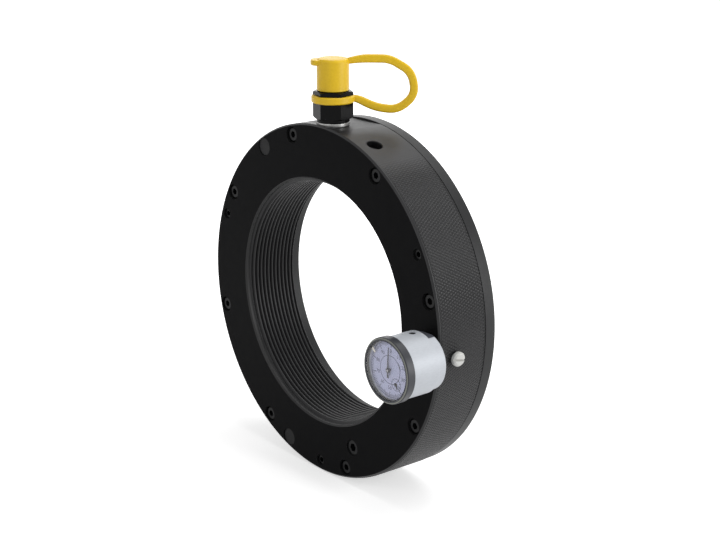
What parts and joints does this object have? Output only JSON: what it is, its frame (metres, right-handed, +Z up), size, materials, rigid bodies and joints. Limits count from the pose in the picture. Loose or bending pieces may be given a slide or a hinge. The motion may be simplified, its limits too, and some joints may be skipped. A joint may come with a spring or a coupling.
{
  "type": "hydraulic nut",
  "caption": "Steel ring with a bore for a large shaft thread, an oil-driven annular piston in its rear side, a capped oil coupler on top and a dial gauge on the front",
  "frame": {"origin": "on the ring's axis, 6 mm behind the front face, just inside the thread", "axes": "+Y along the bore's axis towards the piston face, +Z up through the oil coupler, +X towards the dial gauge"},
  "size_m": [0.2428, 0.0897, 0.2739],
  "materials": {
    "black_steel": "black oxide, fine turned marks",
    "seal_rubber": "smooth nitrile rubber",
    "backup_plastic": "smooth",
    "screw_steel": "black oxide socket screws",
    "spring_steel": "oiled spring wire",
    "zinc_steel": "zinc plated",
    "stem_steel": "ground",
    "yellow_plastic": "soft moulded plastic",
    "case_metal": "satin",
    "plug_rubber": "matt",
    "movement_brass": "plain",
    "dial_face": "printed matt",
    "bezel_plastic": "smooth",
    "pointer_black": "matt",
    "crystal": "clear",
    "white_nylon": "moulded nylon"
  },
  "bodies": {
    "nut": {"nut_body": "black_steel", "return_springs": "spring_steel", "bleed_plug": "screw_steel", "side_port_plug": "screw_steel", "set_screws": "screw_steel", "spare_bore_plugs": "black_steel", "coupler_nipple": "black_steel", "bonded_washer": "zinc_steel", "washer_seal": "seal_rubber", "spring_retainer": "stem_steel", "poppet_spring": "spring_steel", "tether_ring": "yellow_plastic", "cap_strap": "yellow_plastic", "gauge_case": "case_metal", "case_plug": "plug_rubber", "gauge_stem": "stem_steel", "movement_frame": "movement_brass", "dial_plate": "dial_face", "dial_spacer": "bezel_plastic", "plunger_spring": "spring_steel"},
    "piston": {"piston_ring": "black_steel", "outer_seal": "seal_rubber", "outer_backup_ring": "backup_plastic", "inner_seal": "seal_rubber", "inner_backup_ring": "backup_plastic", "return_screws": "screw_steel"},
    "plunger": {"gauge_plunger": "stem_steel", "contact_tip": "stem_steel"},
    "rack": {"rack_arbor": "movement_brass"},
    "pointer": {"pointer_arbor": "stem_steel", "main_pointer": "pointer_black"},
    "counter": {"counter_arbor": "movement_brass", "counter_pointer": "pointer_black"},
    "bezel": {"bezel_ring": "bezel_plastic", "crystal": "crystal", "crystal_seat": "seal_rubber", "tolerance_marker": "bezel_plastic"},
    "cap": {"dust_cap": "yellow_plastic"},
    "poppet": {"valve_poppet": "stem_steel"},
    "clamp": {"clamp_screw": "white_nylon"}
  },
  "joints": [
    {"name": "piston_slide", "type": "slide", "parent": "nut", "child": "piston", "axis": [0, 1, 0], "range_m": [0, 0.006], "stiffness_N_per_m": 16000, "springref_m": -0.002, "deforming": ["return_springs"]},
    {"name": "plunger_slide", "type": "slide", "parent": "nut", "child": "plunger", "axis": [0, 1, 0], "range_m": [0, 0.006], "deforming": ["plunger_spring"]},
    {"name": "rack_turn", "type": "hinge", "parent": "nut", "child": "rack", "pos_m": [0.10795, -0.024, -0.00346], "axis": [1, 0, 0], "range_deg": [0, 216.1]},
    {"name": "pointer_turn", "type": "hinge", "parent": "nut", "child": "pointer", "pos_m": [0.10795, -0.036, -0.00736], "axis": [0, 1, 0], "range_deg": [0, 2160.5]},
    {"name": "counter_turn", "type": "hinge", "parent": "nut", "child": "counter", "pos_m": [0.11315, -0.036, -0.01495], "axis": [0, 1, 0], "range_deg": [-216.1, 0]},
    {"name": "bezel_turn", "type": "hinge", "parent": "nut", "child": "bezel", "pos_m": [0.10795, -0.038, -0.00736], "axis": [0, 1, 0], "continuous": true},
    {"name": "cap_lift", "type": "slide", "parent": "nut", "child": "cap", "axis": [0, 0, 1], "range_m": [0, 0.03], "deforming": ["cap_strap"]},
    {"name": "valve_push", "type": "slide", "parent": "nut", "child": "poppet", "axis": [0, 0, -1], "range_m": [0, 0.0025], "stiffness_N_per_m": 1200, "springref_m": -0.003, "deforming": ["poppet_spring"]},
    {"name": "clamp_turn", "type": "hinge", "parent": "nut", "child": "clamp", "pos_m": [0.11473, 0.0066, -0.00782], "axis": [0.9977, 0, -0.068], "range_deg": [0, 720]}
  ],
  "couplings": [
    {"joint": "plunger_slide", "follows": "piston_slide", "ratio": 1},
    {"joint": "rack_turn", "follows": "piston_slide", "rad_per_m": 628.32},
    {"joint": "pointer_turn", "follows": "piston_slide", "rad_per_m": 6283.2},
    {"joint": "counter_turn", "follows": "piston_slide", "rad_per_m": -628.32}
  ]
}
